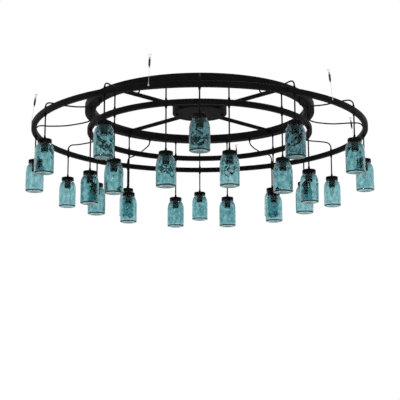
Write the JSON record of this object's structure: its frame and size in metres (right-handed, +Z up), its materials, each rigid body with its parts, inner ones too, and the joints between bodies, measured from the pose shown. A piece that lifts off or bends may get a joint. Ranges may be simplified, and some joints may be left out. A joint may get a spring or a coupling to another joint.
{
  "type": "three-ring jar chandelier",
  "caption": "Round ceiling chandelier: ceiling ring on canopy arms, two hanging rings below it, and glass jar pendants on cords.",
  "frame": {"origin": "centre of the two outlet box screws on the upper face of the ceiling bar, at the ceiling plane", "axes": "+Z up to the ceiling, -Y towards the viewer of the reference picture, +X to the viewer's right"},
  "size_m": [1.9046, 1.9046, 0.5765],
  "materials": {
    "black_metal": "satin black powder coat",
    "zinc_steel": "zinc plated",
    "black_plastic": "matte",
    "cord": "matte jacket",
    "aqua_glass": "clear aqua glass",
    "bronze": "oil-rubbed bronze",
    "cable_steel": "bright stranded steel"
  },
  "bodies": {
    "frame": {"ceiling_bar": "zinc_steel", "canopy": "black_metal", "canopy_knobs": "black_metal", "support_arms": "black_metal", "ceiling_ring": "black_metal", "inner_ring": "black_metal", "outer_ring": "black_metal", "cord_grips": "black_plastic", "supply_cords": "cord", "inner_ring_cords": "cord", "cable_grippers": "bronze", "suspension_cables": "cable_steel"},
    "outer_pendant_01": {"outer_lampholder_01": "black_metal", "outer_jar_01": "aqua_glass"},
    "outer_pendant_02": {"outer_lampholder_02": "black_metal", "outer_jar_02": "aqua_glass"},
    "outer_pendant_03": {"outer_lampholder_03": "black_metal", "outer_jar_03": "aqua_glass"},
    "outer_pendant_04": {"outer_lampholder_04": "black_metal", "outer_jar_04": "aqua_glass"},
    "outer_pendant_05": {"outer_lampholder_05": "black_metal", "outer_jar_05": "aqua_glass"},
    "outer_pendant_06": {"outer_lampholder_06": "black_metal", "outer_jar_06": "aqua_glass"},
    "outer_pendant_07": {"outer_lampholder_07": "black_metal", "outer_jar_07": "aqua_glass"},
    "outer_pendant_08": {"outer_lampholder_08": "black_metal", "outer_jar_08": "aqua_glass"},
    "outer_pendant_09": {"outer_lampholder_09": "black_metal", "outer_jar_09": "aqua_glass"},
    "outer_pendant_10": {"outer_lampholder_10": "black_metal", "outer_jar_10": "aqua_glass"},
    "outer_pendant_11": {"outer_lampholder_11": "black_metal", "outer_jar_11": "aqua_glass"},
    "outer_pendant_12": {"outer_lampholder_12": "black_metal", "outer_jar_12": "aqua_glass"},
    "inner_pendant_01": {"inner_lampholder_01": "black_metal", "inner_jar_01": "aqua_glass"},
    "inner_pendant_02": {"inner_lampholder_02": "black_metal", "inner_jar_02": "aqua_glass"},
    "inner_pendant_03": {"inner_lampholder_03": "black_metal", "inner_jar_03": "aqua_glass"},
    "inner_pendant_04": {"inner_lampholder_04": "black_metal", "inner_jar_04": "aqua_glass"},
    "inner_pendant_05": {"inner_lampholder_05": "black_metal", "inner_jar_05": "aqua_glass"},
    "inner_pendant_06": {"inner_lampholder_06": "black_metal", "inner_jar_06": "aqua_glass"},
    "inner_pendant_07": {"inner_lampholder_07": "black_metal", "inner_jar_07": "aqua_glass"},
    "inner_pendant_08": {"inner_lampholder_08": "black_metal", "inner_jar_08": "aqua_glass"},
    "inner_pendant_09": {"inner_lampholder_09": "black_metal", "inner_jar_09": "aqua_glass"},
    "inner_pendant_10": {"inner_lampholder_10": "black_metal", "inner_jar_10": "aqua_glass"},
    "inner_pendant_11": {"inner_lampholder_11": "black_metal", "inner_jar_11": "aqua_glass"},
    "inner_pendant_12": {"inner_lampholder_12": "black_metal", "inner_jar_12": "aqua_glass"}
  },
  "joints": [
    {"name": "outer_pendant_01_swing", "type": "hinge", "parent": "frame", "child": "outer_pendant_01", "pos_m": [0, -0.903, -0.1901], "axis": [1, 0, 0], "range_deg": [-30, 30]},
    {"name": "outer_pendant_02_swing", "type": "hinge", "parent": "frame", "child": "outer_pendant_02", "pos_m": [0.4515, -0.78202, -0.1901], "axis": [0.866, 0.5, 0], "range_deg": [-30, 30]},
    {"name": "outer_pendant_03_swing", "type": "hinge", "parent": "frame", "child": "outer_pendant_03", "pos_m": [0.78202, -0.4515, -0.1901], "axis": [0.5, 0.866, 0], "range_deg": [-30, 30]},
    {"name": "outer_pendant_04_swing", "type": "hinge", "parent": "frame", "child": "outer_pendant_04", "pos_m": [0.903, 0, -0.1901], "axis": [0, 1, 0], "range_deg": [-30, 30]},
    {"name": "outer_pendant_05_swing", "type": "hinge", "parent": "frame", "child": "outer_pendant_05", "pos_m": [0.78202, 0.4515, -0.1901], "axis": [-0.5, 0.866, 0], "range_deg": [-30, 30]},
    {"name": "outer_pendant_06_swing", "type": "hinge", "parent": "frame", "child": "outer_pendant_06", "pos_m": [0.4515, 0.78202, -0.1901], "axis": [-0.866, 0.5, 0], "range_deg": [-30, 30]},
    {"name": "outer_pendant_07_swing", "type": "hinge", "parent": "frame", "child": "outer_pendant_07", "pos_m": [0, 0.903, -0.1901], "axis": [-1, 0, 0], "range_deg": [-30, 30]},
    {"name": "outer_pendant_08_swing", "type": "hinge", "parent": "frame", "child": "outer_pendant_08", "pos_m": [-0.4515, 0.78202, -0.1901], "axis": [-0.866, -0.5, 0], "range_deg": [-30, 30]},
    {"name": "outer_pendant_09_swing", "type": "hinge", "parent": "frame", "child": "outer_pendant_09", "pos_m": [-0.78202, 0.4515, -0.1901], "axis": [-0.5, -0.866, 0], "range_deg": [-30, 30]},
    {"name": "outer_pendant_10_swing", "type": "hinge", "parent": "frame", "child": "outer_pendant_10", "pos_m": [-0.903, 0, -0.1901], "axis": [0, -1, 0], "range_deg": [-30, 30]},
    {"name": "outer_pendant_11_swing", "type": "hinge", "parent": "frame", "child": "outer_pendant_11", "pos_m": [-0.78202, -0.4515, -0.1901], "axis": [0.5, -0.866, 0], "range_deg": [-30, 30]},
    {"name": "outer_pendant_12_swing", "type": "hinge", "parent": "frame", "child": "outer_pendant_12", "pos_m": [-0.4515, -0.78202, -0.1901], "axis": [0.866, -0.5, 0], "range_deg": [-30, 30]},
    {"name": "inner_pendant_01_swing", "type": "hinge", "parent": "frame", "child": "inner_pendant_01", "pos_m": [0.14588, -0.58509, -0.1861], "axis": [0.9703, 0.2419, 0], "range_deg": [-30, 30]},
    {"name": "inner_pendant_02_swing", "type": "hinge", "parent": "frame", "child": "inner_pendant_02", "pos_m": [0.41888, -0.43376, -0.1861], "axis": [0.7193, 0.6947, 0], "range_deg": [-30, 30]},
    {"name": "inner_pendant_03_swing", "type": "hinge", "parent": "frame", "child": "inner_pendant_03", "pos_m": [0.57964, -0.16621, -0.1861], "axis": [0.2756, 0.9613, 0], "range_deg": [-30, 30]},
    {"name": "inner_pendant_04_swing", "type": "hinge", "parent": "frame", "child": "inner_pendant_04", "pos_m": [0.58509, 0.14588, -0.1861], "axis": [-0.2419, 0.9703, 0], "range_deg": [-30, 30]},
    {"name": "inner_pendant_05_swing", "type": "hinge", "parent": "frame", "child": "inner_pendant_05", "pos_m": [0.43376, 0.41888, -0.1861], "axis": [-0.6947, 0.7193, 0], "range_deg": [-30, 30]},
    {"name": "inner_pendant_06_swing", "type": "hinge", "parent": "frame", "child": "inner_pendant_06", "pos_m": [0.16621, 0.57964, -0.1861], "axis": [-0.9613, 0.2756, 0], "range_deg": [-30, 30]},
    {"name": "inner_pendant_07_swing", "type": "hinge", "parent": "frame", "child": "inner_pendant_07", "pos_m": [-0.14588, 0.58509, -0.1861], "axis": [-0.9703, -0.2419, 0], "range_deg": [-30, 30]},
    {"name": "inner_pendant_08_swing", "type": "hinge", "parent": "frame", "child": "inner_pendant_08", "pos_m": [-0.41888, 0.43376, -0.1861], "axis": [-0.7193, -0.6947, 0], "range_deg": [-30, 30]},
    {"name": "inner_pendant_09_swing", "type": "hinge", "parent": "frame", "child": "inner_pendant_09", "pos_m": [-0.57964, 0.16621, -0.1861], "axis": [-0.2756, -0.9613, 0], "range_deg": [-30, 30]},
    {"name": "inner_pendant_10_swing", "type": "hinge", "parent": "frame", "child": "inner_pendant_10", "pos_m": [-0.58509, -0.14588, -0.1861], "axis": [0.2419, -0.9703, 0], "range_deg": [-30, 30]},
    {"name": "inner_pendant_11_swing", "type": "hinge", "parent": "frame", "child": "inner_pendant_11", "pos_m": [-0.43376, -0.41888, -0.1861], "axis": [0.6947, -0.7193, 0], "range_deg": [-30, 30]},
    {"name": "inner_pendant_12_swing", "type": "hinge", "parent": "frame", "child": "inner_pendant_12", "pos_m": [-0.16621, -0.57964, -0.1861], "axis": [0.9613, -0.2756, 0], "range_deg": [-30, 30]}
  ]
}
